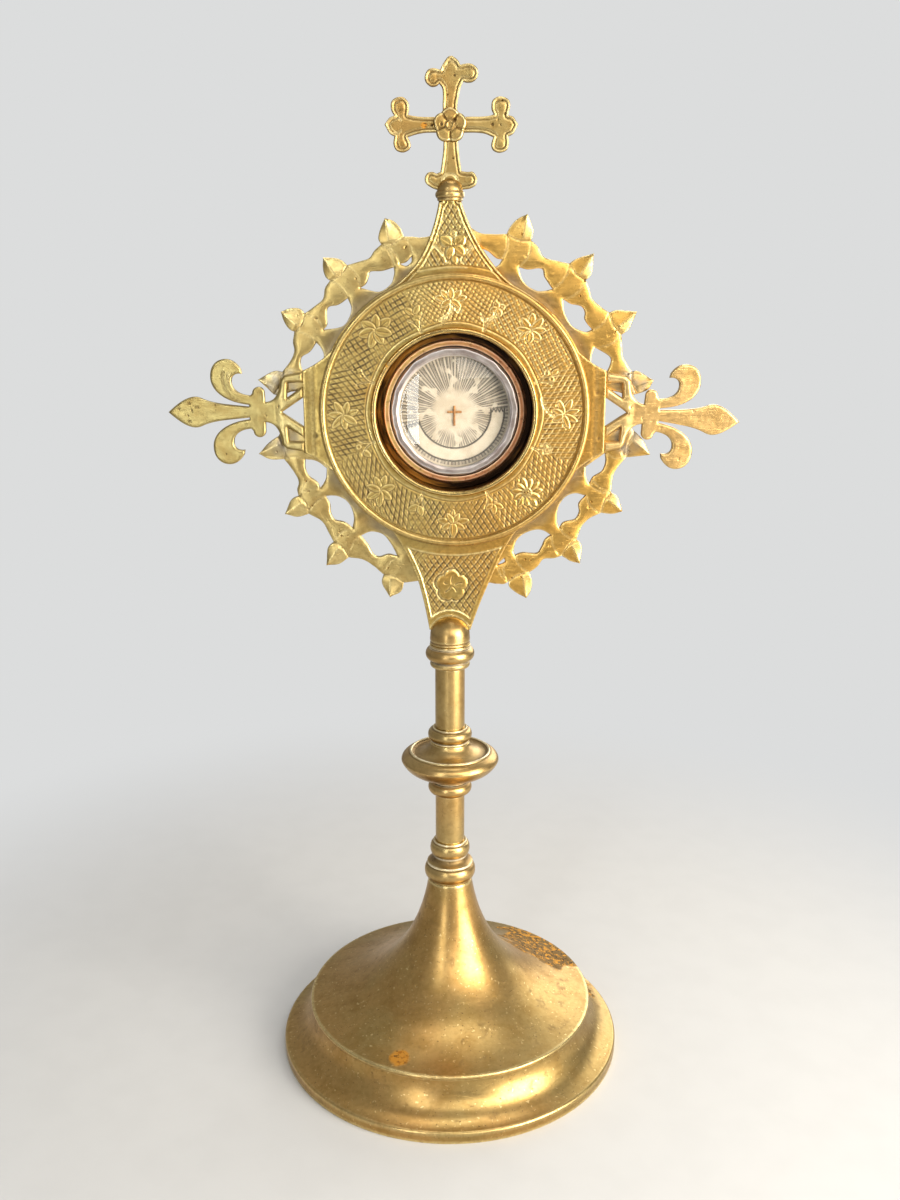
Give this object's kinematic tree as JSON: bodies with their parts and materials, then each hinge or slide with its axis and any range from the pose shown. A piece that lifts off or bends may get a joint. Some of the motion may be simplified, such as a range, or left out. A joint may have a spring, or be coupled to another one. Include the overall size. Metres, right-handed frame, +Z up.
{
  "type": "reliquary",
  "caption": "Free-standing brass altar reliquary: round foot, knopped stem, engraved ring head with a glazed relic case, leaf sprays, fleurs-de-lis and a finial cross.",
  "frame": {"origin": "centre of the foot's underside, on the stem's axis", "axes": "+Z up the stem, -Y towards the front with the glass, +X towards the viewer's right"},
  "size_m": [0.1817, 0.1196, 0.33],
  "materials": {
    "spun_brass": "aged satin, pitted",
    "turned_brass": "aged satin with brown tarnish in the coves",
    "sheet_brass": "aged satin",
    "engraved_brass": "engraved, with dark lines",
    "polished_brass": "polished",
    "cast_brass": "aged satin",
    "copper": "satin copper colour",
    "silvered": "silvered satin",
    "steel": "dull",
    "glass": "clear, domed",
    "card": "aged card, printed with rays",
    "relic_wood": "dark, dry",
    "wax": "sealing wax, satin"
  },
  "bodies": {
    "stand": {"foot_ring": "spun_brass", "bell_foot": "spun_brass", "clamp_washer": "steel", "tie_rod_nut": "steel", "tie_rod": "steel", "lower_collar": "turned_brass", "lower_tube": "turned_brass", "knop_lower_ring": "turned_brass", "knop_disc": "turned_brass", "knop_upper_ring": "turned_brass", "upper_tube": "turned_brass", "upper_collar": "turned_brass", "dome_socket": "turned_brass", "tail_pin": "turned_brass", "head_plate": "sheet_brass", "drum_wall": "sheet_brass", "face_ring": "engraved_brass", "bead_rim": "sheet_brass", "bezel": "polished_brass", "well_tube": "polished_brass", "stop_ring": "sheet_brass", "retaining_ring": "sheet_brass", "rear_case": "sheet_brass", "case_hinge": "sheet_brass", "hinge_pin": "steel", "wreath_upper_right": "cast_brass", "wreath_upper_left": "cast_brass", "wreath_lower_right": "cast_brass", "wreath_lower_left": "cast_brass", "fleur_right": "cast_brass", "fleur_left": "cast_brass", "finial_ball": "turned_brass", "finial_cross": "cast_brass", "cross_rosette": "cast_brass"},
    "theca": {"theca_carrier": "copper", "theca_case": "silvered", "theca_bezel": "silvered", "theca_glass": "glass", "paper_card": "card", "paper_banner": "card", "relic_cross": "relic_wood", "backing_pad": "card", "theca_lid": "silvered", "wax_seal": "wax"},
    "door": {"rear_door": "sheet_brass", "door_spring": "sheet_brass", "door_tab": "sheet_brass"}
  },
  "joints": [
    {"name": "theca_turn", "type": "hinge", "parent": "stand", "child": "theca", "pos_m": [0.0014, 0, 0.2254], "axis": [0, 1, 0], "continuous": true},
    {"name": "door_hinge", "type": "hinge", "parent": "stand", "child": "door", "pos_m": [-0.0315, 0.01175, 0.2254], "axis": [0, 0, 1], "range_deg": [0, 110]}
  ]
}
